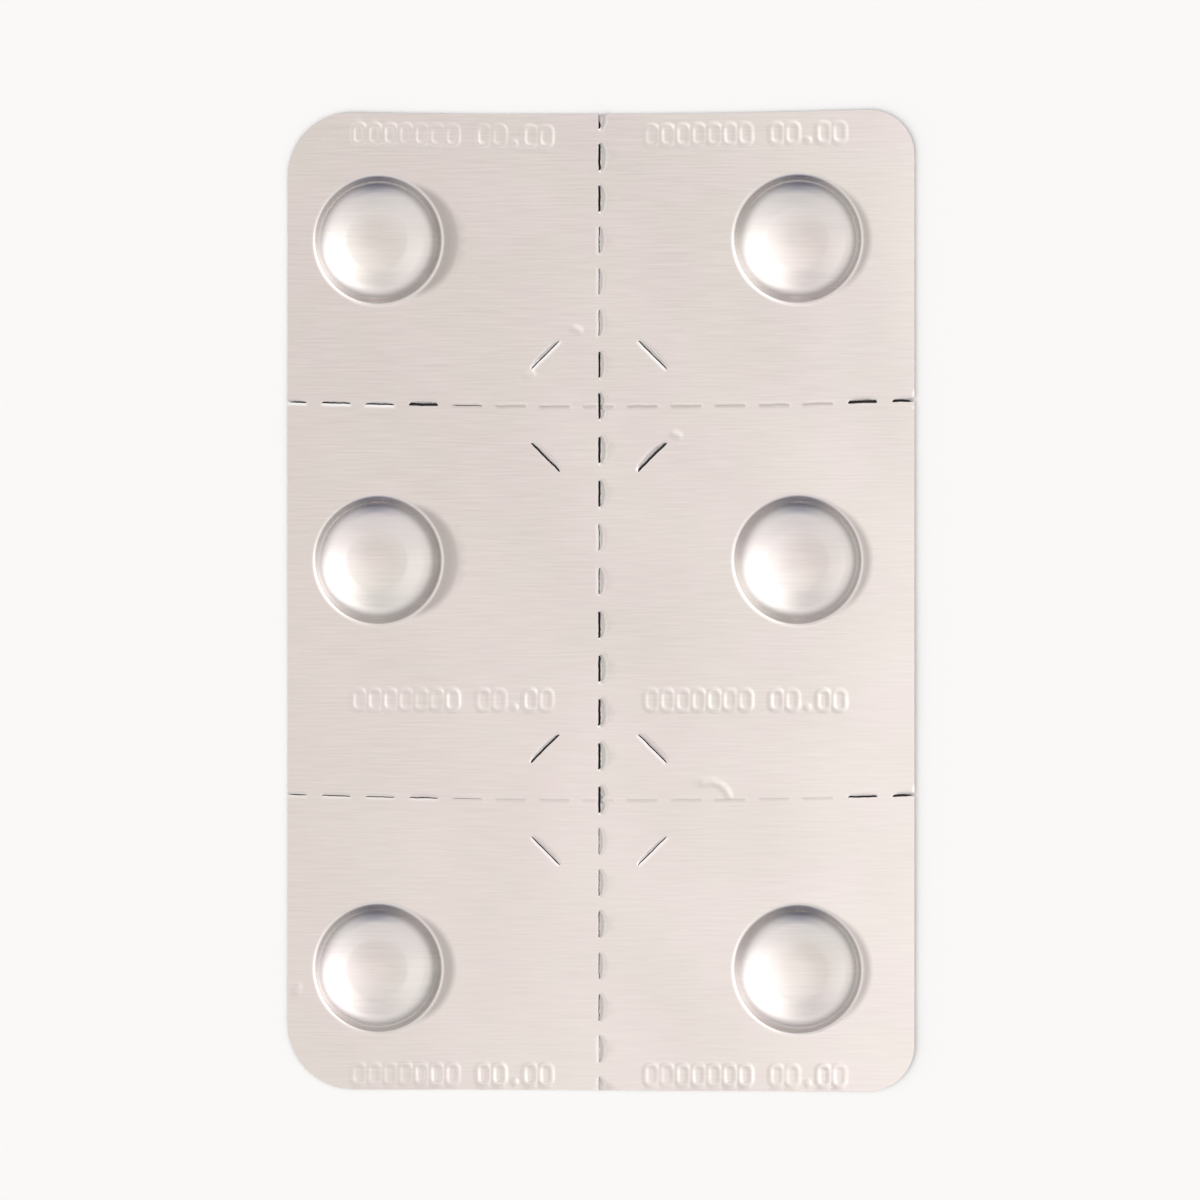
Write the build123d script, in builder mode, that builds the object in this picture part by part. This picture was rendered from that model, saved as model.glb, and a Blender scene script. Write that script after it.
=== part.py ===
from build123d import *

import os
from math import radians, tan

# A peel-apart pill blister pack: cold-formed aluminium laminate with six round
# pockets, sealed to a flat lidding foil. Perforated lines part the card into six
# cells, and slanted slits round the two crossings free the corners to peel from.
# Millimetres. The origin is the middle of the flat underside, +Z points out of
# the pockets and +Y runs along the card.

os.makedirs("parts", exist_ok=True)

# Card: the two foils, sealed face to face and stamped out
card_width = 65.0
card_length = 101.5
forming_foil = 0.15
lidding_foil = 0.08
left_corner_radius = 6.8
right_corner_radius = 4.8
top_edge_hollow = 0.45

# Pockets: straight drafted wall, rounded shoulder, crowned top with a flat middle
pocket_foot_diameter = 13.4
pocket_depth = 2.15
pocket_wall_draft = 31.0
crown_drop = 0.6
crown_flat_diameter = 2.4
pocket_shoulder_radius = 2.7
pocket_root_flare = 0.25

# Pocket axes, from the card's edges and, for the middle row, from the tear line above
left_pocket_margin = 9.45
right_pocket_margin = 12.05
top_pocket_margin = 13.45
bottom_pocket_margin = 12.55
middle_pocket_drop = 15.95

# Tear lines: one along the card and two across it, which sag at mid-width
die_shift = -0.15
cut_width = 0.3
top_cell_length = 30.7
bottom_cell_length = 30.05
tear_line_sag = 0.5
cross_cut_length = 3.0
cross_cut_pitch = 4.55
long_cut_length = 2.75
middle_cut_pitch = 4.5
end_cut_pitch = 4.3

# Peel slits: four round each crossing, set like the sides of a diamond
peel_slit_length = 4.0
peel_slit_angle = 45.0
peel_slit_offset_x = 5.55
peel_slit_offset_y = 5.3

card_thickness = forming_foil + lidding_foil
foot_radius = pocket_foot_diameter / 2
wall_height = pocket_depth - crown_drop
wall_top_radius = foot_radius - wall_height * tan(radians(pocket_wall_draft))
upper_tear_y = card_length / 2 - top_cell_length
lower_tear_y = bottom_cell_length - card_length / 2
pocket_columns_x = [left_pocket_margin - card_width / 2, card_width / 2 - right_pocket_margin]
pocket_rows_y = [
    card_length / 2 - top_pocket_margin,
    upper_tear_y - middle_pocket_drop,
    bottom_pocket_margin - card_length / 2,
]
pocket_centres = [(x, y, card_thickness) for x in pocket_columns_x for y in pocket_rows_y]


def on_tear_line(x, mid_y):
    """A point of a cross line, lowest at mid-width and raised towards the edges."""
    return (x, mid_y + tear_line_sag * (2 * x / card_width) ** 2)


# Cuts across the card, counted out from the lengthwise line to both edges
cross_reach = int((card_width / 2 + cross_cut_length / 2) / cross_cut_pitch)
cross_cuts = [
    on_tear_line(die_shift + step * cross_cut_pitch, tear_y)
    for tear_y in (upper_tear_y, lower_tear_y)
    for step in range(-cross_reach, cross_reach + 1)
]

# Cuts along the card: one sits on each crossing, and each cell is divided evenly
middle_spaces = round((upper_tear_y - lower_tear_y) / middle_cut_pitch)
middle_step = (upper_tear_y - lower_tear_y) / middle_spaces
end_reach = card_length / 2 + long_cut_length / 2
upper_cuts = int((end_reach - upper_tear_y) / end_cut_pitch)
lower_cuts = int((end_reach + lower_tear_y) / end_cut_pitch)
long_cuts = [(die_shift, lower_tear_y + step * middle_step) for step in range(middle_spaces + 1)]
long_cuts += [(die_shift, upper_tear_y + step * end_cut_pitch) for step in range(1, upper_cuts + 1)]
long_cuts += [(die_shift, lower_tear_y - step * end_cut_pitch) for step in range(1, lower_cuts + 1)]

# One pocket, its foot running down through the forming foil
with BuildPart() as pocket:
    with BuildSketch(Plane.XZ) as half_section:
        with BuildLine():
            crown_flat = Line((0, pocket_depth), (crown_flat_diameter / 2, pocket_depth))
            crown = TangentArc(crown_flat @ 1, (wall_top_radius, wall_height), tangent=(1, 0))
            Polyline(
                crown @ 1,
                (foot_radius, 0),
                (foot_radius, -forming_foil),
                (0, -forming_foil),
                crown_flat @ 0,
            )
        make_face()
        shoulder = half_section.vertices().sort_by_distance((wall_top_radius, wall_height))[0]
        fillet(shoulder, pocket_shoulder_radius)
    revolve(axis=Axis.Z)

with BuildPart() as blister_pack:
    with BuildSketch() as card:
        with BuildLine():
            sides = Polyline(
                (-card_width / 2, card_length / 2),
                (-card_width / 2, -card_length / 2),
                (card_width / 2, -card_length / 2),
                (card_width / 2, card_length / 2),
            )
            ThreePointArc(sides @ 1, (0, card_length / 2 - top_edge_hollow), sides @ 0)
        make_face()
        fillet(card.vertices().group_by(Axis.X)[0], left_corner_radius)
        fillet(card.vertices().group_by(Axis.X)[-1], right_corner_radius)
    extrude(amount=card_thickness)

    # Six pockets, drawn out of the card with a small flare round each foot
    with Locations(*pocket_centres):
        add(pocket.part)
    roots = blister_pack.edges(Select.LAST).filter_by(GeomType.CIRCLE).group_by(Axis.Z)[0]
    chamfer(roots, pocket_root_flare)

    # Knife cuts through both foils
    with BuildSketch() as cuts:
        with Locations(*cross_cuts):
            Rectangle(cross_cut_length, cut_width)
        with Locations(*long_cuts):
            Rectangle(cut_width, long_cut_length)
        for tear_y in (upper_tear_y, lower_tear_y):
            for side in (-1, 1):
                for end in (-1, 1):
                    slit = (die_shift + side * peel_slit_offset_x, tear_y + end * peel_slit_offset_y)
                    with Locations(slit):
                        Rectangle(peel_slit_length, cut_width, rotation=-side * end * peel_slit_angle)
    extrude(amount=card_thickness, mode=Mode.SUBTRACT)

blister_pack.part.label = "blister_pack"
export_step(blister_pack.part, "parts/blister_pack.step")
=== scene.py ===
from math import atan2, cos, pi, radians, sin, tan

import bpy
import numpy as np
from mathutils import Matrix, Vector
from mathutils.geometry import delaunay_2d_cdt
from mathutils.kdtree import KDTree


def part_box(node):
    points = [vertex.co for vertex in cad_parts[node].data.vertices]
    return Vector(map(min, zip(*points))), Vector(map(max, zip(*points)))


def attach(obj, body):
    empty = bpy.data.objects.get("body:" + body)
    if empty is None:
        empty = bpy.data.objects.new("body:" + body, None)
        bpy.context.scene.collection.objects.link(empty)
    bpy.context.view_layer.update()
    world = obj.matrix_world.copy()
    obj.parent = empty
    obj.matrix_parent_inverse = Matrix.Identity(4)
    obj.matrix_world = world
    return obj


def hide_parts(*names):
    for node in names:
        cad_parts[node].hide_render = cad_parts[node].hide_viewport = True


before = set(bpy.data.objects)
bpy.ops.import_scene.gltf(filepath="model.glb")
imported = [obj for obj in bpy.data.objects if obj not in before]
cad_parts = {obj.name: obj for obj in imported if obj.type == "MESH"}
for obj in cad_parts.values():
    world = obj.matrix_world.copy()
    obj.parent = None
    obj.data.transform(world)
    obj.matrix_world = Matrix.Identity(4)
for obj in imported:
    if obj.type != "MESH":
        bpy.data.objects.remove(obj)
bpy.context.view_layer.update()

# Knife cuts. A steel rule perforates both sealed foils into six cells, and four slanted slits round
# each crossing free the corners to peel from. Each cut is a thin opening, straight on one side and
# sprung up on the other; the cuts across the middle of the card have closed again.
mm = 0.001
low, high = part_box("blister_pack")
half_width = high.x
half_length = -low.y
cut_length = 3.0 * mm
long_cut_length = 2.75 * mm
long_opening = 0.22 * mm
cross_opening = 0.3 * mm
slit_opening = 0.24 * mm
cross_pitch = 4.55 * mm
cross_steps = 7
end_pitch = 4.3 * mm
end_cuts = 7
middle_cuts = 9
die_shift = -0.15 * mm
top_cell = 30.7 * mm
bottom_cell = 30.05 * mm
upper_tear = half_length - top_cell
lower_tear = bottom_cell - half_length
tear_sag = 0.5 * mm
slit_length = 4.2 * mm
slit_offset = Vector((5.55, 5.3, 0)) * mm
shut_middle = 4.8 * mm
shut_reach = 17.6 * mm
shut_fade = 4 * mm
shut_share = 0.05
always_open = -1.0
least_sprung = 0.7
most_sprung = 1.15
pale_share = 0.45
long_lip = 1.0
cross_lip = 0.25
slit_lip = 0.5
# Painted light: how white the pale lengthwise cuts are painted beside their straight side
long_painted_light = 0.4
outline_points = 36
end_bluntness = 1.8
straight_bulge = 0.25
rag_length = 0.9 * mm
rag_depth = 0.16 * mm


def wire(tree, kind, inputs=(), output=0, **settings):
    """Adds a node with its settings, fills or links its inputs, and gives back one output socket."""
    made = tree.nodes.new(kind)
    for name, value in settings.items():
        setattr(made, name, value)
    for key, value in dict(inputs).items():
        if isinstance(value, (bpy.types.NodeSocket, list)):
            for source in value if isinstance(value, list) else [value]:
                tree.links.new(source, made.inputs[key])
        else:
            made.inputs[key].default_value = value
    return made.outputs[output] if made.outputs else None


def new_tree(name, **inputs):
    """An empty geometry tree with these named inputs, and the sockets that they arrive on."""
    tree = bpy.data.node_groups.new(name, "GeometryNodeTree")
    for label, kind in {"Geometry": "Geometry", **inputs}.items():
        tree.interface.new_socket(label, in_out="INPUT", socket_type="NodeSocket" + kind)
    tree.interface.new_socket("Geometry", in_out="OUTPUT", socket_type="NodeSocketGeometry")
    return tree, tree.nodes.new("NodeGroupInput").outputs


def grown(name, tree, mesh=None, **values):
    """The plain mesh that a tree makes from a mesh and its named inputs."""
    seed = bpy.data.objects.new(name, mesh or bpy.data.meshes.new(name))
    bpy.context.scene.collection.objects.link(seed)
    modifier = seed.modifiers.new(name, "NODES")
    modifier.node_group = tree
    for item in tree.interface.items_tree:
        if item.in_out == "INPUT" and item.name in values:
            modifier[item.identifier] = values[item.name]
    evaluated = seed.evaluated_get(bpy.context.evaluated_depsgraph_get())
    result = bpy.data.meshes.new_from_object(evaluated)
    bpy.data.objects.remove(seed)
    return result


knife_row, row = new_tree(
    "knife_row", Count="Int", First="Vector", Step="Vector", Length="Float", Opening="Float", Lip="Float",
    Shut_Middle="Float", Shut_Reach="Float", Mark="Float", Turn="Float", Sag="Float",
    Half_Width="Float", Pale_From="Int", Pale_To="Int", Wiped="Float", Seed="Int",
)
places = wire(knife_row, "GeometryNodeMeshLine",
              {"Count": row["Count"], "Start Location": row["First"], "Offset": row["Step"]})
here = wire(knife_row, "GeometryNodeInputPosition")
across = wire(knife_row, "ShaderNodeSeparateXYZ", {0: here})
away = wire(knife_row, "ShaderNodeMath", {0: across, 1: row["Shut_Middle"]}, operation="SUBTRACT")
away = wire(knife_row, "ShaderNodeMath", {0: away}, operation="ABSOLUTE")
fully_open = wire(knife_row, "ShaderNodeMath", {0: row["Shut_Reach"], 1: shut_fade}, operation="ADD")
sprung = wire(knife_row, "ShaderNodeMapRange",
              {"Value": away, "From Min": row["Shut_Reach"], "From Max": fully_open},
              interpolation_type="SMOOTHSTEP")
uneven = wire(knife_row, "FunctionNodeRandomValue",
              {2: least_sprung, 3: most_sprung, "Seed": row["Seed"]}, output=1)
sprung = wire(knife_row, "ShaderNodeMath", {0: sprung, 1: uneven}, operation="MULTIPLY")
number = wire(knife_row, "GeometryNodeInputIndex")
pale = wire(knife_row, "ShaderNodeMath", {
    0: wire(knife_row, "FunctionNodeCompare", {2: number, 3: row["Pale_From"]},
            data_type="INT", operation="GREATER_EQUAL"),
    1: wire(knife_row, "FunctionNodeCompare", {2: number, 3: row["Pale_To"]},
            data_type="INT", operation="LESS_EQUAL")}, operation="MULTIPLY")
# Painted light: the white that a pale cut gets beside its straight side
wipe = wire(knife_row, "ShaderNodeMath", {0: pale, 1: row["Wiped"]}, operation="MULTIPLY")
for label, value in {"sprung": sprung, "wipe": wipe, "mark": row["Mark"]}.items():
    places = wire(knife_row, "GeometryNodeStoreNamedAttribute",
                  {"Geometry": places, "Name": label, "Value": value})
share = wire(knife_row, "ShaderNodeMapRange", {"Value": sprung, "To Min": shut_share})
thin = wire(knife_row, "ShaderNodeMapRange", {"Value": pale, "To Min": 1.0, "To Max": pale_share})
share = wire(knife_row, "ShaderNodeMath", {0: share, 1: thin}, operation="MULTIPLY")
width = wire(knife_row, "ShaderNodeMath", {0: share, 1: row["Opening"]}, operation="MULTIPLY")
ring = wire(knife_row, "GeometryNodeMeshCircle", {"Vertices": outline_points}, fill_type="NGON")
side = wire(knife_row, "ShaderNodeSeparateXYZ", {0: here}, output="Y")
raised = wire(knife_row, "ShaderNodeMath", {0: side, 1: 0.0}, operation="MAXIMUM")
raised = wire(knife_row, "ShaderNodeMath", {0: raised, 1: row["Lip"]}, operation="MULTIPLY")
straight = wire(knife_row, "ShaderNodeMath", {0: side, 1: 0.0}, operation="MINIMUM")
for label, value in {"raised": raised, "burr": straight}.items():
    ring = wire(knife_row, "GeometryNodeStoreNamedAttribute",
                {"Geometry": ring, "Name": label, "Value": value})
along = wire(knife_row, "ShaderNodeSeparateXYZ", {0: here}, output="X")
half_cut = wire(knife_row, "ShaderNodeMath", {0: row["Length"], 1: 0.5}, operation="MULTIPLY")
along = wire(knife_row, "ShaderNodeMath", {0: along, 1: half_cut}, operation="MULTIPLY")
opened = wire(knife_row, "ShaderNodeMath", {0: side, 1: end_bluntness}, operation="MULTIPLY")
opened = wire(knife_row, "ShaderNodeClamp", {"Value": opened, "Min": -straight_bulge, "Max": 1.0})
ring = wire(knife_row, "GeometryNodeSetPosition",
            {"Geometry": ring, "Position": wire(knife_row, "ShaderNodeCombineXYZ", {0: along, 1: opened})})
cuts = wire(knife_row, "GeometryNodeInstanceOnPoints", {
    "Points": places, "Instance": ring,
    "Rotation": wire(knife_row, "ShaderNodeCombineXYZ", {2: row["Turn"]}),
    "Scale": wire(knife_row, "ShaderNodeCombineXYZ", {0: 1.0, 1: width, 2: 1.0}),
})
cuts = wire(knife_row, "GeometryNodeRealizeInstances", {"Geometry": cuts})
rise = wire(knife_row, "ShaderNodeMath", {0: across, 1: row["Half_Width"]}, operation="DIVIDE")
rise = wire(knife_row, "ShaderNodeMath", {0: rise, 1: 2.0}, operation="POWER")
rise = wire(knife_row, "ShaderNodeMath", {0: rise, 1: row["Sag"]}, operation="MULTIPLY")
cuts = wire(knife_row, "GeometryNodeSetPosition",
            {"Geometry": cuts, "Offset": wire(knife_row, "ShaderNodeCombineXYZ", {1: rise})})
ragged = wire(knife_row, "ShaderNodeTexNoise", {"Vector": here, "Scale": 1 / rag_length}, output="Color")
ragged = wire(knife_row, "ShaderNodeVectorMath", {0: ragged, 1: (0.5, 0.5, 0.5)}, operation="SUBTRACT")
ragged = wire(knife_row, "ShaderNodeVectorMath", {0: ragged, 1: (rag_depth, rag_depth, 0)},
              operation="MULTIPLY")
cuts = wire(knife_row, "GeometryNodeSetPosition", {"Geometry": cuts, "Offset": ragged})
wire(knife_row, "NodeGroupOutput", {"Geometry": cuts})

# Rows along the card: where each starts, its pitch, count and opening, and its first and last pale cut
middle_pitch = (upper_tear - lower_tear) / middle_cuts
lower_opening = 0.4 * long_opening
lengthwise = [
    (lower_tear, middle_pitch, middle_cuts + 1, long_opening, (5, 6)),
    (upper_tear + end_pitch, end_pitch, end_cuts, long_opening, (1, 3)),
    (lower_tear - end_pitch, -end_pitch, end_cuts, lower_opening, (5, 6)),
]
rows = [
    {"Count": count, "First": (die_shift, start, 0), "Step": (0, step, 0), "Length": long_cut_length,
     "Opening": opening, "Lip": long_lip, "Shut_Reach": always_open, "Turn": -pi / 2,
     "Pale_From": pale_run[0], "Pale_To": pale_run[1], "Wiped": long_painted_light}
    for start, step, count, opening, pale_run in lengthwise
]
# Rows across it: place and opening, how plain the closed cuts are, the last pale cut, how much painted
# light the cuts and the slits get, and the first and last pale slit of each lean
crosswise = [
    (upper_tear, cross_opening, 0.45, 2, 1.0, 0.9, {-1: (0, 0), 1: (0, 0)}),
    (lower_tear, 0.65 * cross_opening, 0.2, 3, 0.3, 0.6, {-1: (0, 1), 1: (1, 1)}),
]
for tear, opening, mark, last_pale, cuts_painted_light, slits_painted_light, pale_slits in crosswise:
    rows.append({
        "Count": 2 * cross_steps + 1, "First": (die_shift - cross_steps * cross_pitch, tear, 0),
        "Step": (cross_pitch, 0, 0), "Length": cut_length, "Opening": opening, "Lip": cross_lip,
        "Shut_Middle": shut_middle, "Shut_Reach": shut_reach, "Sag": tear_sag, "Mark": mark,
        "Pale_From": 0, "Pale_To": last_pale, "Wiped": cuts_painted_light,
    })
    for lean, pale_run in pale_slits.items():
        rows.append({
            "Count": 2, "First": (die_shift - lean * slit_offset.x, tear + slit_offset.y, 0),
            "Step": (lean * 2 * slit_offset.x, -2 * slit_offset.y, 0), "Length": slit_length,
            "Opening": slit_opening, "Lip": slit_lip, "Shut_Reach": always_open, "Turn": lean * pi / 4,
            "Pale_From": pale_run[0], "Pale_To": pale_run[1], "Wiped": slits_painted_light,
        })
tear_pattern, _ = new_tree("tear_pattern")
stretches = [
    wire(tear_pattern, "GeometryNodeGroup", {**given, "Half_Width": half_width, "Seed": number},
         node_tree=knife_row)
    for number, given in enumerate(rows)
]
wire(tear_pattern, "NodeGroupOutput",
     {"Geometry": wire(tear_pattern, "GeometryNodeJoinGeometry", {"Geometry": stretches})})
cut_mesh = grown("knife_cuts", tear_pattern)
cut_guide = bpy.data.objects.new("cut_guide", cut_mesh)

# Pressed code. A row of steel type stamps the same plain number into every cell before the card is
# cut; here each place holds zeros only, seven, two and two, with a point between the last pairs.
code_height = 2.0 * mm
code_width = 1.24 * mm
code_corner = 0.54 * mm
code_corner_steps = 5
code_pitch = 1.62 * mm
code_slots = 13
code_point_slot = 10
code_point = 0.12 * mm
code_point_sides = 8
code_runs = [(0, 7), (8, 2), (11, 2)]
code_columns = [-15.4 * mm, 15.0 * mm]
code_rows = [half_length - 2.55 * mm, -10.35 * mm, 1.6 * mm - half_length]
code_leans = [-1.0, 0.7, 0, 0, 0, 0]

stamped_code, _ = new_tree("stamped_code")
start_x = -code_pitch * (code_slots - 1) / 2
zero = wire(stamped_code, "GeometryNodeCurvePrimitiveQuadrilateral",
            {"Width": code_width, "Height": code_height})
zero = wire(stamped_code, "GeometryNodeFilletCurve",
            {"Curve": zero, "Count": code_corner_steps, "Radius": code_corner}, mode="POLY")
zero = wire(stamped_code, "GeometryNodeCurveToMesh", {"Curve": zero})
type_rows = [
    wire(stamped_code, "GeometryNodeInstanceOnPoints", {
        "Points": wire(stamped_code, "GeometryNodeMeshLine", {
            "Count": count, "Start Location": (start_x + slot * code_pitch, 0, 0),
            "Offset": (code_pitch, 0, 0)}),
        "Instance": zero})
    for slot, count in code_runs
]
point = wire(stamped_code, "GeometryNodeMeshCircle", {"Vertices": code_point_sides, "Radius": code_point})
point = wire(stamped_code, "GeometryNodeTransform", {
    "Geometry": point,
    "Translation": (start_x + code_point_slot * code_pitch, code_point * 2 - code_height / 2, 0)})
line = wire(stamped_code, "GeometryNodeJoinGeometry", {"Geometry": [*type_rows, point]})
anchors = [(x, y, 0) for y in code_rows for x in code_columns]
stamps = [
    wire(stamped_code, "GeometryNodeTransform", {
        "Geometry": line, "Translation": place, "Rotation": (0, 0, radians(lean))})
    for place, lean in zip(anchors, code_leans)
]
stamps = wire(stamped_code, "GeometryNodeJoinGeometry", {"Geometry": stamps})
stamps = wire(stamped_code, "GeometryNodeRealizeInstances", {"Geometry": stamps})
wire(stamped_code, "NodeGroupOutput", {"Geometry": stamps})
code_mesh = grown("pressed_code", stamped_code)
code_guide = bpy.data.objects.new("code_guide", code_mesh)

# Formed foil. Aluminium between two plastic films, cold-pressed into six round pockets with a crowned
# top, then sealed and stamped out. One sheet carries the pockets, the pressed code and the lips that
# the knife leaves beside its cuts, over the faint ripple that a thin card keeps.
left_corner = 6.8 * mm
right_corner = 4.8 * mm
top_hollow = 0.45 * mm
card_top = 0.23 * mm
lid_top = 0.08 * mm
ripple_height = 0.14 * mm
ripple_length = 24 * mm
ripple_room = 1.3 * ripple_height
left_lift = 0.1 * mm
right_lift = 0.15 * mm
curl_power = 4.0
pocket_depth = high.z - card_top - ripple_room
crown_flat = 0.4 * mm
crown_radius = 22 * mm
bevel_start = 3.2 * mm
bevel_slope = 0.056
shoulder_start = 4.72 * mm
shoulder_radius = 2.8 * mm
wall_angle = radians(58)
root_round = 0.6 * mm
# Painted shadow: a darker crescent on the flat foil just right of each pocket, where the pocket's shadow
# falls; a tint inside circles shifted off the pockets' axes, outside the pocket's foot and fading outward
shadow_radius = 5.85 * mm
shadow_shifts = [[2.6 * mm, 2.6 * mm, 2.1 * mm], [1.7 * mm, 1.75 * mm, 1.7 * mm]]
shadow_inner_blur = 0.45 * mm
shadow_outer_blur = 0.4 * mm
shadow_strength = 1.05
shadow_start = 6.75 * mm
shadow_full = 6.95 * mm
shadow_fade_start = 7.2 * mm
shadow_fade_end = 8.8 * mm
shadow_faded = 0.55
lip_height = 0.3 * mm
lip_reach = 0.6 * mm
lip_bend = 0.25
# Painted shade on a lip's slope, at its most
lip_shade_most = 0.7
burr_reach = 0.16 * mm
burr_sink = 0.02
# Painted light beside the pale cuts: full white within the first reach, gone by the second, on the straight
# side only
painted_light_full = 0.2 * mm
painted_light_end = 0.34 * mm
painted_light_side = -0.3
mark_floor = 0.08 * mm
mark_edge = 0.26 * mm
mark_depth = 0.03 * mm
mark_ends = 0.4
code_depth = 0.04 * mm
code_stroke = 0.05 * mm
code_slope = 0.4 * mm
bite_length = 3 * mm
least_bite = 0.4
dent_reach = 0.6 * mm
dent_depth = 0.03 * mm
seal_share = 0.4
back_share = 0.25
sharp_angle = radians(50)
pocket_columns = [9.45 * mm - half_width, half_width - 12.05 * mm]
pocket_rows = [half_length - 13.45 * mm, upper_tear - 15.95 * mm, 12.55 * mm - half_length]
pocket_places = [(x, y, 0) for x in pocket_columns for y in pocket_rows]
# Centres of the painted shadow crescents: each pocket's axis moved to the right
shadow_places = [
    (x + aside, y, 0)
    for x, shifts in zip(pocket_columns, shadow_shifts) for y, aside in zip(pocket_rows, shifts)
]
# Paths of handling marks, in millimetres
handling_marks = [
    [(-2.7, 28.1), (-2.2, 27.9)], [(-7.6, 23.3), (-7.1, 23.4)], [(7.6, 17.2), (8.1, 17.0)],
    [(10.6, -18.9), (11.6, -18.8), (12.4, -19.1), (13.0, -19.6), (13.3, -20.2)],
    [(-31.6, -40.6), (-31.4, -40.2)],
]


def card_outline():
    """The stamped edge, counter-clockwise, with round corners and a hollow top."""
    corners = [
        (-1, -1, left_corner, pi), (1, -1, right_corner, 1.5 * pi),
        (1, 1, right_corner, 0.0), (-1, 1, left_corner, 0.5 * pi),
    ]
    points = []
    for side_x, side_y, radius, begin in corners:
        centre = np.array([side_x * (half_width - radius), side_y * (half_length - radius)])
        for turn in np.linspace(begin, begin + pi / 2, corner_points):
            points.append(centre + radius * np.array([cos(turn), sin(turn)]))
    ring = []
    for here_point, next_point in zip(points, points[1:] + points[:1]):
        count = max(1, round(np.linalg.norm(next_point - here_point) / edge_step))
        ring += [here_point + (next_point - here_point) * k / count for k in range(count)]
    ring = np.array(ring)
    upper = ring[:, 1] > 0
    ring[upper, 1] -= top_hollow * (1 - (ring[upper, 0] / half_width) ** 2)
    return ring


def narrowed(loop, share):
    """A cut's straight side drawn in towards its sprung side, but not where it runs out at an edge."""
    room = np.min([half_width - side_room, half_length - end_room] - abs(loop), axis=1)[:, None]
    share = 1 - (1 - share) * np.clip(room / run_out, 0, 1)
    opposite = np.roll(loop[::-1], 1, axis=0)
    return np.where(straight_side, opposite + share * (loop - opposite), loop)


def meshed(loops, inner):
    """Points and triangles of the card's outline less its cuts, through these inner points."""
    points = np.vstack([*loops, inner])
    starts = np.cumsum([0, *map(len, loops)])
    faces = [list(range(a, b)) for a, b in zip(starts, starts[1:])]
    cut = delaunay_2d_cdt([Vector(p) for p in points / mm], [], faces, 0, merge_gap)
    kept = np.array([t for t, owners in zip(cut[2], cut[5]) if list(owners) == [0]])
    used, kept = np.unique(kept, return_inverse=True)
    return np.array([tuple(p) for p in cut[0]])[used] * mm, kept.reshape(-1, 3)


def sealed_layer(name, upper_loops, lower_loops, upper_inner, lower_inner, top, bottom):
    """A closed layer of the card: triangulated upper and lower faces, joined round every edge and cut."""
    above, above_faces = meshed(upper_loops, upper_inner)
    below, below_faces = meshed(lower_loops, lower_inner)
    tree = KDTree(len(below))
    for number, place in enumerate(below):
        tree.insert((*place, 0), number)
    tree.balance()
    partner = {}
    for loop, (upper_loop, lower_loop) in enumerate(zip(upper_loops, lower_loops)):
        for one, other in zip(upper_loop, lower_loop):
            partner[tuple(np.round(one / mm, 3))] = (tree.find((*other, 0))[1], loop > 0)
    edges = {}
    for a, b, c in above_faces:
        for pair in ((a, b), (b, c), (c, a)):
            edges[pair] = pair[::-1]
    rim = [pair for pair, back in edges.items() if back not in edges]

    def under(index):
        key = tuple(np.round(above[index] / mm, 3))
        below_index, on_cut = partner.get(key, (tree.find((*above[index], 0))[1], False))
        return len(above) + below_index, on_cut

    walls = [(a, under(a)[0], under(b)[0], b) for a, b in rim]
    faces = [tuple(t) for t in above_faces]
    faces += [tuple(len(above) + t[::-1]) for t in below_faces] + walls
    points = [(*p, top) for p in above] + [(*p, bottom) for p in below]
    mesh = bpy.data.meshes.new(name)
    mesh.from_pydata(points, [], faces)
    upper = mesh.attributes.new("upper", "FLOAT", "POINT")
    upper.data.foreach_set("value", [1.0] * len(above) + [0.0] * len(below))
    flat = [0.0] * (len(faces) - len(walls))
    wall = mesh.attributes.new("cut_wall", "FLOAT", "FACE")
    wall.data.foreach_set("value", flat + [float(under(a)[1] or under(b)[1]) for a, b in rim])
    return mesh


def disc_rings(radii, step):
    """Points on rings round a pocket's axis, about one step apart."""
    rings = [np.zeros((1, 2))]
    for radius in radii:
        turns = np.arange(round(2 * pi * radius / step)) / round(2 * pi * radius / step) * 2 * pi
        rings.append(radius * np.column_stack([np.cos(turns), np.sin(turns)]))
    return np.vstack(rings)


def grid(width, height, step):
    """Points of a staggered grid about the origin."""
    columns = np.arange(-width / 2, width / 2, step)
    lines = np.arange(-height / 2, height / 2, step * sin(pi / 3))
    x, y = np.meshgrid(columns, lines)
    x[1::2] += step / 2
    return np.column_stack([x.ravel(), y.ravel()])


def clear_of(points, others, gap):
    """The points that keep this gap from all the others."""
    tree = KDTree(len(others))
    for number, place in enumerate(others):
        tree.insert((*place, 0), number)
    tree.balance()
    return np.array([p for p in points if tree.find((*p, 0))[2] > gap])


# Spacing of the mesh points, finest where the foil bends most. The bands of rings round a pocket, each
# from, to and step, and the halo round a cut are in millimetres.
corner_points = 24
edge_step = 0.8 * mm
ring_step = 0.36 * mm
code_step = 0.13 * mm
mark_step = 0.16 * mm
plain_step = 0.8 * mm
coarse_step = 2.5 * mm
rim_gap = 0.05 * mm
plain_gap = 0.5 * mm
coarse_gap = 0.8 * mm
merge_gap = 1e-5
side_room = mm / 5
end_room = mm
run_out = 0.5 * mm
ring_bands = [(0.5, 2.8, 0.4), (2.9, 4.25, 0.15), (4.3, 6.3, 0.11), (6.35, 7.1, 0.07), (7.2, 8.4, 0.15)]
code_margin = np.array([1.0, 1.2]) * mm
mark_span = np.array([4, 3]) * mm
halo = [0, 0.08, 0.17, 0.28, 0.42, 0.6, 0.85]

edge_loop = card_outline()
cut_points = np.array([v.co[:2] for v in cut_mesh.vertices])
cut_marks = [cut_points[list(f.vertices)] for f in cut_mesh.polygons]
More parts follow.
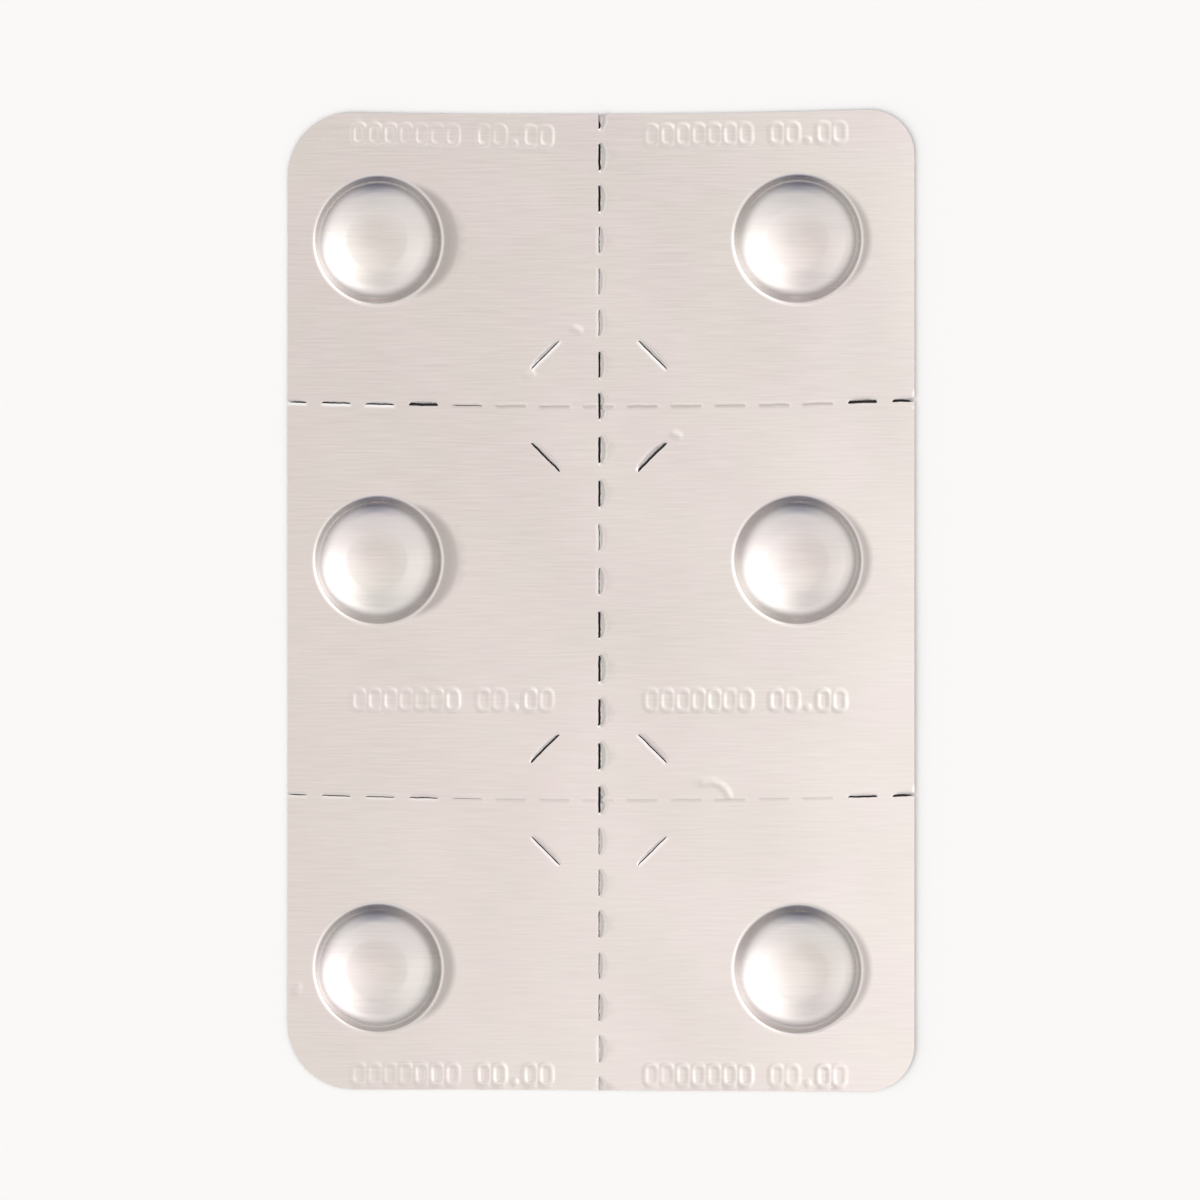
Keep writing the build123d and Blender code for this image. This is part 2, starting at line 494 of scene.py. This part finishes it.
# The cross cuts that meet the lengthwise line have closed to bare marks
cut_loops = [
    loop for loop in cut_marks
    if np.ptp(loop[:, 0]) < cut_length / 2 or abs(loop[:, 0].mean() - die_shift) > cross_pitch / 2
]
straight_side = np.arange(outline_points)[:, None] > outline_points // 2
rim_points = np.vstack([edge_loop, *cut_loops])
pocket_radii = np.concatenate([np.arange(*band) for band in ring_bands]) * mm
ring_points = disc_rings(pocket_radii, ring_step)
fine_points = [ring_points + place[:2] for place in pocket_places]
code_span = code_margin + [code_pitch * code_slots, code_height]
fine_points += [grid(*code_span, code_step) + place[:2] for place in anchors]
fine_points += [grid(*mark_span, mark_step) + np.mean(path, axis=0) * mm for path in handling_marks]
for loop in cut_marks:
    outward = np.roll(loop, -1, axis=0) - np.roll(loop, 1, axis=0)
    outward = np.column_stack([outward[:, 1], -outward[:, 0]])
    outward /= np.linalg.norm(outward, axis=1)[:, None]
    fine_points += [loop + outward * reach * mm for reach in halo]
fine_points = np.vstack(fine_points)
fine_points = fine_points[(abs(fine_points) < [half_width, half_length - top_hollow]).all(axis=1)]
fine_points = clear_of(fine_points, rim_points, rim_gap)
plain_points = grid(2 * half_width, 2 * half_length, plain_step)
plain_points = clear_of(plain_points, np.vstack([rim_points, fine_points]), plain_gap)
coarse_points = clear_of(grid(2 * half_width, 2 * half_length, coarse_step), rim_points, coarse_gap)

seal_loops = [edge_loop, *(narrowed(loop, seal_share) for loop in cut_loops)]
formed_blank = sealed_layer(
    "formed_blank", [edge_loop, *cut_loops], seal_loops, np.vstack([fine_points, plain_points]),
    coarse_points, card_top, lid_top,
)

# Ripple that both foils share, so that they stay sealed face to face
card_ripple, ripple = new_tree("card_ripple", Half_Width="Float")
spot = wire(card_ripple, "GeometryNodeInputPosition")
flat_spot = wire(card_ripple, "ShaderNodeVectorMath", {0: spot, 1: (1, 1, 0)}, operation="MULTIPLY")
swell = wire(card_ripple, "ShaderNodeTexNoise",
             {"Vector": flat_spot, "Scale": 1 / ripple_length, "Detail": 1.0})
swell = wire(card_ripple, "ShaderNodeMapRange",
             {"Value": swell, "From Min": 0.3, "From Max": 0.8, "To Max": ripple_height})
reach = wire(card_ripple, "ShaderNodeMath", {
    0: wire(card_ripple, "ShaderNodeSeparateXYZ", {0: spot}), 1: ripple["Half_Width"]}, operation="DIVIDE")
curl = wire(card_ripple, "ShaderNodeMath", {0: reach, 1: curl_power}, operation="POWER")
turned_up = wire(card_ripple, "ShaderNodeMapRange", {
    "Value": reach, "From Min": -1.0, "To Min": left_lift, "To Max": right_lift})
lift = wire(card_ripple, "ShaderNodeMath", {0: curl, 1: turned_up, 2: swell}, operation="MULTIPLY_ADD")
rippled = wire(card_ripple, "GeometryNodeSetPosition", {
    "Geometry": ripple["Geometry"], "Offset": wire(card_ripple, "ShaderNodeCombineXYZ", {2: lift})})
wire(card_ripple, "NodeGroupOutput", {"Geometry": rippled})


def linear(code):
    """A linear colour from an sRGB hex value."""
    parts = [int(code[k:k + 2], 16) / 255 for k in (0, 2, 4)]
    return (*[c / 12.92 if c <= 0.04045 else ((c + 0.055) / 1.055) ** 2.4 for c in parts], 1.0)


def new_finish(name):
    """A material of this name and its tree, still empty."""
    made = bpy.data.materials.new(name)
    made.use_nodes = True
    made.node_tree.nodes.clear()
    return made, made.node_tree


# Cold-form aluminium laminate: satin rolled foil under a clear film, warm grey, with streaks along the
# rolling direction, drawn coarser than real ones so that they show; painted shade darkens it beside the
# pockets, on the knife's lips and along closed cuts, and painted light whitens it beside the pale cuts;
# the card's slight bow turns the reflections from side to side
rolled_foil, shade = new_finish("rolled_aluminium_laminate")
streak_spacing = 0.2 * mm
streak_length = 5 * mm
streak_depth = 0.02 * mm
streak_relief = 0.06
patch_size = 9 * mm
bow_radius = 0.6
place = wire(shade, "ShaderNodeTexCoord", output="Object")
stretched = wire(shade, "ShaderNodeMapping", {
    "Vector": place, "Scale": (1 / streak_length, 1 / streak_spacing, 1 / streak_length)})
streaks = wire(shade, "ShaderNodeTexNoise", {"Vector": stretched, "Scale": 1.0, "Detail": 3.0})
patches = wire(shade, "ShaderNodeTexNoise", {"Vector": place, "Scale": 1 / patch_size, "Detail": 2.0})
tint = wire(shade, "ShaderNodeMix", {0: patches, 6: linear("E8DCDC"), 7: linear("E3E0D8")},
            output=2, data_type="RGBA")
shine = wire(shade, "ShaderNodeMapRange", {"Value": streaks, "To Min": 0.93, "To Max": 1.07})
tint = wire(shade, "ShaderNodeVectorMath", {0: tint, "Scale": shine}, operation="SCALE")
# Painted shade from the foil's tree: the shadow beside each pocket, the shaded knife lips and the closed
# cuts' grooves
painted_shade_mask = wire(shade, "ShaderNodeAttribute", output="Fac", attribute_name="scuff")
tint = wire(shade, "ShaderNodeMix", {0: painted_shade_mask, 6: tint, 7: linear("BDB6B3")}, output=2, data_type="RGBA")
gloss = wire(shade, "ShaderNodeMapRange", {"Value": streaks, "To Min": 0.21, "To Max": 0.29})
bow = wire(shade, "ShaderNodeMath", {0: wire(shade, "ShaderNodeSeparateXYZ", {0: place}), 1: 2.0},
           operation="POWER")
bow = wire(shade, "ShaderNodeMath", {0: bow, 1: 0.5 / bow_radius}, operation="MULTIPLY")
bowed = wire(shade, "ShaderNodeBump", {"Height": bow, "Strength": 1.0, "Distance": 1.0})
relief = wire(shade, "ShaderNodeBump", {
    "Height": streaks, "Strength": streak_relief, "Distance": streak_depth, "Normal": bowed})
# Painted light from the foil's tree: white beside the pale cuts
wiped = wire(shade, "ShaderNodeAttribute", output="Fac", attribute_name="wiped")
tint = wire(shade, "ShaderNodeMix", {0: wiped, 6: tint, 7: linear("FFFFFF")}, output=2, data_type="RGBA")
foil = wire(shade, "ShaderNodeBsdfPrincipled", {
    "Base Color": tint, "Metallic": 1.0, "Roughness": gloss, "Normal": relief})
wire(shade, "ShaderNodeOutputMaterial", {"Surface": foil})

# Cut walls: a dark, mottled finish on the walls of the knife's cuts, painted shadow standing in for the deep
# shade inside them
cut_shadow_finish, shade = new_finish("cut_wall_painted_shadow")
shadow_mottle_size = 0.6 * mm
place = wire(shade, "ShaderNodeTexCoord", output="Object")
shadow_mottle = wire(shade, "ShaderNodeTexNoise", {"Vector": place, "Scale": 1 / shadow_mottle_size, "Detail": 2.0})
tint = wire(shade, "ShaderNodeMix", {0: shadow_mottle, 6: linear("120E0E"), 7: linear("3A302E")},
            output=2, data_type="RGBA")
edge = wire(shade, "ShaderNodeBsdfPrincipled", {"Base Color": tint, "Roughness": 0.7})
wire(shade, "ShaderNodeOutputMaterial", {"Surface": edge})


def finished_sheet(tree, sheet, width, finish):
    """Ends a foil's tree with the shared ripple, its finish, and a dark finish of painted shadow on the
    walls of its cuts.
    """
    sheet = wire(tree, "GeometryNodeGroup", {"Geometry": sheet, "Half_Width": width}, node_tree=card_ripple)
    sheet = wire(tree, "GeometryNodeRealizeInstances", {"Geometry": sheet})
    sheet = wire(tree, "GeometryNodeSetMaterial", {"Geometry": sheet, "Material": finish})
    sheared = wire(tree, "GeometryNodeInputNamedAttribute", {"Name": "cut_wall"})
    sheet = wire(tree, "GeometryNodeSetMaterial",
                 {"Geometry": sheet, "Selection": sheared, "Material": cut_shadow_finish})
    wire(tree, "NodeGroupOutput", {"Geometry": sheet})


def foil_object(name, mesh):
    """A finished foil in the scene, smooth apart from its sheared edges."""
    mesh.shade_smooth()
    mesh.set_sharp_from_angle(angle=sharp_angle)
    made = bpy.data.objects.new(name, mesh)
    bpy.context.scene.collection.objects.link(made)
    return made


formed, given = new_tree(
    "formed_foil", Pockets="Object", Rubs="Object", Cuts="Object", Code="Object", Marks="Object",
    Half_Width="Float", Depth="Float", Lip_Height="Float", Code_Depth="Float",
)
spot = wire(formed, "GeometryNodeInputPosition")
flat_spot = wire(formed, "ShaderNodeVectorMath", {0: spot, 1: (1, 1, 0)}, operation="MULTIPLY")
guides = {
    label: wire(formed, "GeometryNodeObjectInfo", {"Object": given[label]}, output="Geometry")
    for label in ("Pockets", "Rubs", "Cuts", "Code", "Marks")
}
reach = {
    label: wire(formed, "GeometryNodeProximity", {"Geometry": guides[label], "Sample Position": flat_spot},
                output="Distance", target_element=kind)
    for label, kind in {
        "Pockets": "POINTS", "Rubs": "POINTS", "Cuts": "EDGES", "Code": "EDGES", "Marks": "EDGES"}.items()
}
crown_lean = atan2(shoulder_start - crown_flat + bevel_slope * crown_radius, crown_radius)
shoulder_axis = shoulder_start - shoulder_radius * sin(crown_lean)
shoulder_end = shoulder_axis + shoulder_radius * sin(wall_angle)
inward = wire(formed, "ShaderNodeMath", {0: reach["Pockets"], 1: shoulder_start}, operation="MINIMUM")
bevel = wire(formed, "ShaderNodeMath", {0: inward, 1: bevel_start}, operation="SUBTRACT")
bevel = wire(formed, "ShaderNodeMath", {0: bevel, 1: 0.0}, operation="MAXIMUM")
bevel = wire(formed, "ShaderNodeMath", {0: bevel, 1: bevel_slope}, operation="MULTIPLY")
crown = wire(formed, "ShaderNodeMath", {0: inward, 1: crown_flat}, operation="SUBTRACT")
crown = wire(formed, "ShaderNodeMath", {0: crown, 1: 0.0}, operation="MAXIMUM")
crown = wire(formed, "ShaderNodeMath", {0: crown, 1: 2.0}, operation="POWER")
crown = wire(formed, "ShaderNodeMath", {0: crown, 1: 2 * crown_radius}, operation="DIVIDE")
shoulder = wire(formed, "ShaderNodeClamp",
                {"Value": reach["Pockets"], "Min": shoulder_start, "Max": shoulder_end})
shoulder = wire(formed, "ShaderNodeMath", {0: shoulder, 1: shoulder_axis}, operation="SUBTRACT")
shoulder = wire(formed, "ShaderNodeMath", {0: shoulder, 1: 2.0}, operation="POWER")
shoulder = wire(formed, "ShaderNodeMath", {0: shoulder_radius ** 2, 1: shoulder}, operation="SUBTRACT")
shoulder = wire(formed, "ShaderNodeMath", {0: shoulder}, operation="SQRT")
shoulder = wire(formed, "ShaderNodeMath", {0: shoulder_radius * cos(crown_lean), 1: shoulder},
                operation="SUBTRACT")
wall = wire(formed, "ShaderNodeMath", {0: reach["Pockets"], 1: shoulder_end}, operation="SUBTRACT")
wall = wire(formed, "ShaderNodeMath", {0: wall, 1: 0.0}, operation="MAXIMUM")
wall = wire(formed, "ShaderNodeMath", {0: wall, 1: tan(wall_angle)}, operation="MULTIPLY")
pocket = given["Depth"]
for fall in (crown, bevel, shoulder, wall):
    pocket = wire(formed, "ShaderNodeMath", {0: pocket, 1: fall}, operation="SUBTRACT")
pocket = wire(formed, "ShaderNodeMath", {0: pocket, 1: 0.0, 2: root_round}, operation="SMOOTH_MAX")

press = wire(formed, "ShaderNodeMapRange", {
    "Value": reach["Code"], "From Min": code_stroke, "From Max": code_slope, "To Min": 1.0, "To Max": 0.0},
    interpolation_type="SMOOTHSTEP")
bite = wire(formed, "ShaderNodeTexNoise", {"Vector": flat_spot, "Scale": 1 / bite_length, "Detail": 0.0})
bite = wire(formed, "ShaderNodeMapRange",
            {"Value": bite, "From Min": 0.3, "From Max": 0.7, "To Min": least_bite})
bite = wire(formed, "ShaderNodeMath", {0: bite, 1: given["Code_Depth"]}, operation="MULTIPLY")
press = wire(formed, "ShaderNodeMath", {0: press, 1: bite}, operation="MULTIPLY")

nearest = wire(formed, "GeometryNodeSampleNearest",
               {"Geometry": guides["Cuts"], "Sample Position": flat_spot})
lip_share, burr_share, lip_open, cut_painted_light, cut_mark = [
    wire(formed, "GeometryNodeSampleIndex", {
        "Geometry": guides["Cuts"], "Index": nearest,
        "Value": wire(formed, "GeometryNodeInputNamedAttribute", {"Name": label})})
    for label in ("raised", "burr", "sprung", "wipe", "mark")
]
lip = wire(formed, "ShaderNodeMath", {0: lip_share, 1: lip_open}, operation="MULTIPLY")
slope = wire(formed, "ShaderNodeMath", {0: reach["Cuts"], 1: lip_reach}, operation="DIVIDE")
lip = wire(formed, "ShaderNodeMath", {0: lip, 1: slope}, operation="SUBTRACT")
lip = wire(formed, "ShaderNodeMath", {0: lip, 1: 0.0}, operation="MAXIMUM")
lip_shade = wire(formed, "ShaderNodeMapRange", {"Value": lip, "From Max": lip_bend, "To Max": lip_shade_most})
fade = wire(formed, "ShaderNodeMapRange", {
    "Value": reach["Cuts"], "From Max": burr_reach, "To Min": -burr_sink, "To Max": 0.0},
    interpolation_type="SMOOTHERSTEP")
burr = wire(formed, "ShaderNodeMath", {0: burr_share, 1: lip_open}, operation="MULTIPLY")
lip = wire(formed, "ShaderNodeMath", {0: burr, 1: fade, 2: lip}, operation="MULTIPLY_ADD")
upper = wire(formed, "GeometryNodeInputNamedAttribute", {"Name": "upper"})
lip = wire(formed, "ShaderNodeMath", {0: lip, 1: upper}, operation="MULTIPLY")
lip = wire(formed, "GeometryNodeBlurAttribute", {0: lip, "Iterations": 1})
lip = wire(formed, "ShaderNodeMath", {0: lip, 1: given["Lip_Height"]}, operation="MULTIPLY")

# Painted light: white on the flat beside the straight side of each pale cut, where light shows through the
# cut
wiped = wire(formed, "ShaderNodeMapRange", {
    "Value": reach["Cuts"], "From Min": painted_light_full, "From Max": painted_light_end, "To Min": 1.0, "To Max": 0.0})
wiped = wire(formed, "ShaderNodeMath", {0: wiped, 1: cut_painted_light}, operation="MULTIPLY")
straight = wire(formed, "ShaderNodeMapRange", {"Value": burr_share, "From Max": painted_light_side})
wiped = wire(formed, "ShaderNodeMath", {0: wiped, 1: straight}, operation="MULTIPLY")

shut = wire(formed, "ShaderNodeMapRange", {
    "Value": lip_open, "From Max": mark_ends, "To Min": cut_mark, "To Max": 0.0})
groove = wire(formed, "ShaderNodeMapRange", {
    "Value": reach["Cuts"], "From Min": mark_floor, "From Max": mark_edge, "To Min": 1.0, "To Max": 0.0},
    interpolation_type="SMOOTHSTEP")
groove = wire(formed, "ShaderNodeMath", {0: groove, 1: shut}, operation="MULTIPLY")
sunk_mark = wire(formed, "ShaderNodeMath", {0: groove, 1: mark_depth}, operation="MULTIPLY")
dent = wire(formed, "ShaderNodeMapRange", {
    "Value": reach["Marks"], "From Max": dent_reach, "To Min": dent_depth, "To Max": 0.0},
    interpolation_type="SMOOTHSTEP")
height = wire(formed, "ShaderNodeMath", {0: pocket, 1: lip}, operation="ADD")
for sunk in (press, sunk_mark, dent):
    height = wire(formed, "ShaderNodeMath", {0: height, 1: sunk}, operation="SUBTRACT")
height = wire(formed, "ShaderNodeMath", {0: height, 1: upper}, operation="MULTIPLY")
# Painted shade for the foil's tint: darker along the grooves of the closed cuts, on the knife's lips, and in
# the crescent of shadow to the right of each pocket
scuff = wire(formed, "ShaderNodeMath", {0: groove, 1: lip_shade}, operation="ADD")
# Painted shadow: the crescent beside each pocket
crescent_shadow = wire(formed, "ShaderNodeMapRange", {
    "Value": reach["Rubs"], "From Min": shadow_radius - shadow_inner_blur,
    "From Max": shadow_radius + shadow_outer_blur, "To Min": shadow_strength, "To Max": 0.0},
    interpolation_type="SMOOTHSTEP")
beside = wire(formed, "ShaderNodeMapRange",
              {"Value": reach["Pockets"], "From Min": shadow_start, "From Max": shadow_full})
outward = wire(formed, "ShaderNodeMapRange", {
    "Value": reach["Pockets"], "From Min": shadow_fade_start, "From Max": shadow_fade_end,
    "To Min": 1.0, "To Max": shadow_faded})
for share in (beside, outward):
    crescent_shadow = wire(formed, "ShaderNodeMath", {0: crescent_shadow, 1: share}, operation="MULTIPLY")
scuff = wire(formed, "ShaderNodeMath", {0: scuff, 1: crescent_shadow}, operation="ADD")
sheet = given["Geometry"]
for label, value in {"scuff": scuff, "wiped": wiped}.items():
    sheet = wire(formed, "GeometryNodeStoreNamedAttribute",
                 {"Geometry": sheet, "Name": label, "Value": value})
sheet = wire(formed, "GeometryNodeSetPosition", {
    "Geometry": sheet, "Offset": wire(formed, "ShaderNodeCombineXYZ", {2: height})})
finished_sheet(formed, sheet, given["Half_Width"], rolled_foil)


def guide(name, paths):
    """An object of bare points, joined along each path, for a tree to measure from."""
    points = [point for path in paths for point in path]
    ends = set(np.cumsum([len(path) for path in paths]) - 1)
    mesh = bpy.data.meshes.new(name)
    mesh.from_pydata(points, [(k, k + 1) for k in range(len(points)) if k not in ends], [])
    return bpy.data.objects.new(name, mesh)


pocket_guide = guide("pocket_guide", [[place] for place in pocket_places])
rub_guide = guide("rub_guide", [[place] for place in shadow_places])
mark_guide = guide("mark_guide", [[(x * mm, y * mm, 0) for x, y in path] for path in handling_marks])
foil_mesh = grown(
    "formed_foil", formed, formed_blank, Pockets=pocket_guide, Rubs=rub_guide, Cuts=cut_guide,
    Code=code_guide, Marks=mark_guide, Half_Width=half_width, Depth=pocket_depth,
    Lip_Height=lip_height, Code_Depth=code_depth,
)
formed_foil = foil_object("formed_foil", foil_mesh)
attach(formed_foil, "root")
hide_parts("blister_pack")

# Lidding foil. A thinner hard-rolled foil with a heat-seal lacquer, flat under the whole card and cut
# by the same knife; it is peeled away to reach a tablet.
back_loops = [edge_loop, *(narrowed(loop, back_share) for loop in cut_loops)]
lid_blank = sealed_layer("lid_blank", seal_loops, back_loops, coarse_points, coarse_points, lid_top, 0.0)

# Lacquered lidding foil: bright side out, a little duller than the formed foil, matt lacquer streaks
lacquered_foil, shade = new_finish("lacquered_lidding_foil")
place = wire(shade, "ShaderNodeTexCoord", output="Object")
stretched = wire(shade, "ShaderNodeMapping", {
    "Vector": place, "Scale": (1 / streak_length, 1 / streak_spacing, 1 / streak_length)})
streaks = wire(shade, "ShaderNodeTexNoise", {"Vector": stretched, "Scale": 1.0, "Detail": 2.0})
tint = wire(shade, "ShaderNodeMix", {0: streaks, 6: linear("DAD6D2"), 7: linear("E4E0DC")},
            output=2, data_type="RGBA")
gloss = wire(shade, "ShaderNodeMapRange", {"Value": streaks, "To Min": 0.4, "To Max": 0.52})
foil = wire(shade, "ShaderNodeBsdfPrincipled", {"Base Color": tint, "Metallic": 1.0, "Roughness": gloss})
wire(shade, "ShaderNodeOutputMaterial", {"Surface": foil})

lid_tree, given = new_tree("lidding_foil", Half_Width="Float")
finished_sheet(lid_tree, given["Geometry"], given["Half_Width"], lacquered_foil)
lid_mesh = grown("lidding_foil", lid_tree, lid_blank, Half_Width=half_width)
lidding_foil = foil_object("lidding_foil", lid_mesh)
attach(lidding_foil, "root")
for spent in (cut_guide, code_guide, pocket_guide, rub_guide, mark_guide):
    bpy.data.objects.remove(spent)

# Floor. A wide sheet of plain pale board under the pack, matt, so that it shows only a soft shadow
# along the card's edges.
floor_half = 2.0
floor_mesh = bpy.data.meshes.new("floor")
floor_mesh.from_pydata(
    [(-floor_half, -floor_half, 0), (floor_half, -floor_half, 0), (floor_half, floor_half, 0),
     (-floor_half, floor_half, 0)], [], [(0, 1, 2, 3)])
pale_board = bpy.data.materials.new("pale_matt_board")
pale_board.use_nodes = True
board = pale_board.node_tree.nodes["Principled BSDF"]
board.inputs["Base Color"].default_value = linear("FCFBFA")
board.inputs["Roughness"].default_value = 0.9
floor_mesh.materials.append(pale_board)
floor = bpy.data.objects.new("floor", floor_mesh)
bpy.context.scene.collection.objects.link(floor)

# Studio light. A light tent: soft white walls, brightest near the top and dim towards the table, with a
# large bright panel at the front left, small ones overhead, and gaps of darker room behind the card.

# Walls: elevation in degrees, strength and tint
tent_walls = [
    (0, 0.34, "FFFFFF"), (10, 0.44, "FFFFFF"), (20, 0.6, "FFFFFF"), (30, 0.78, "FFFFFF"),
    (40, 0.9, "FFFFFF"), (50, 0.92, "FFFFFF"), (60, 0.92, "FFFFFF"), (70, 0.96, "FFFFFF"),
    (80, 0.98, "FFFCFA"), (90, 0.93, "FFF8F5"),
]
# Panels: azimuth, elevation and spread in degrees, strength, which is below zero for a gap, and tint
tent_panels = [
    (212, 46, 18, 1.4, "FFFCF8"), (188, 64, 12, 0.4, "F8FAFF"), (202, 14, 24, 0.75, "FAFAFF"),
    (0, 34, 14, 0.1, "FFECD8"), (352, 65, 7, 0.26, "FFFCFA"), (342, 79, 8, -0.15, "FFFFFF"),
    (264, 66, 11, -0.32, "FFFFFF"), (110, 82, 8, -0.12, "FFFFFF"), (95, 44, 13, -0.45, "FCF8E4"),
    (92, 16, 20, -0.4, "FCF8E8"), (125, 84, 5, -0.2, "FFFFFF"), (235, 84, 5, 0.2, "FFFFFF"),
    (320, 65, 7, 0.2, "FFFCFA"),
]
half_fall = 0.7
tent = bpy.data.worlds.new("light_tent")
tent.use_nodes = True
glow = tent.node_tree
glow.nodes.clear()
toward = wire(glow, "ShaderNodeTexCoord", output="Generated")
level = wire(glow, "ShaderNodeSeparateXYZ", {0: toward}, output="Z")
walls = wire(glow, "ShaderNodeValToRGB", {"Fac": level})
stops = walls.node.color_ramp.elements
stops.remove(stops[1])
for elevation, strength, colour in tent_walls:
    stop = stops.new(sin(radians(elevation))) if elevation else stops[0]
    stop.color = (*[strength * part for part in linear(colour)[:3]], 1)
total = walls
for azimuth, elevation, spread, strength, colour in tent_panels:
    flat = cos(radians(elevation))
    aim = (flat * cos(radians(azimuth)), flat * sin(radians(azimuth)), sin(radians(elevation)))
    facing = wire(glow, "ShaderNodeVectorMath", {0: toward, 1: aim}, output="Value", operation="DOT_PRODUCT")
    soft = half_fall / (1 - cos(radians(spread)))
    facing = wire(glow, "ShaderNodeMath", {0: facing, 1: soft, 2: -soft}, operation="MULTIPLY_ADD")
    facing = wire(glow, "ShaderNodeMath", {0: facing}, operation="EXPONENT")
    tinted = tuple(strength * part for part in linear(colour)[:3])
    facing = wire(glow, "ShaderNodeVectorMath", {0: tinted, "Scale": facing}, operation="SCALE")
    total = wire(glow, "ShaderNodeVectorMath", {0: total, 1: facing}, operation="ADD")
total = wire(glow, "ShaderNodeVectorMath", {0: total, 1: (0, 0, 0)}, operation="MAXIMUM")
glow_output = wire(glow, "ShaderNodeBackground", {"Color": total})
wire(glow, "ShaderNodeOutputWorld", {"Surface": glow_output})
bpy.context.scene.world = tent
bpy.context.scene.view_settings.view_transform = "Standard"

# Camera. A long lens looking down on the card from a few degrees to its right, far enough off for the
# edges to stay parallel.
camera_height = 0.7
camera_aside = 0.04
sensor_width = 36.0
image_pixels = 1200
pixels_per_mm = 9.67
view_width = image_pixels / pixels_per_mm * mm
camera_data = bpy.data.cameras.new("camera")
camera_data.sensor_width = sensor_width
camera_data.lens = sensor_width * camera_height / view_width
camera = bpy.data.objects.new("camera", camera_data)
camera.location = (camera_aside, 0, camera_height)
camera.rotation_euler = (0, camera_aside / camera_height, 0)
bpy.context.scene.collection.objects.link(camera)
bpy.context.scene.camera = camera
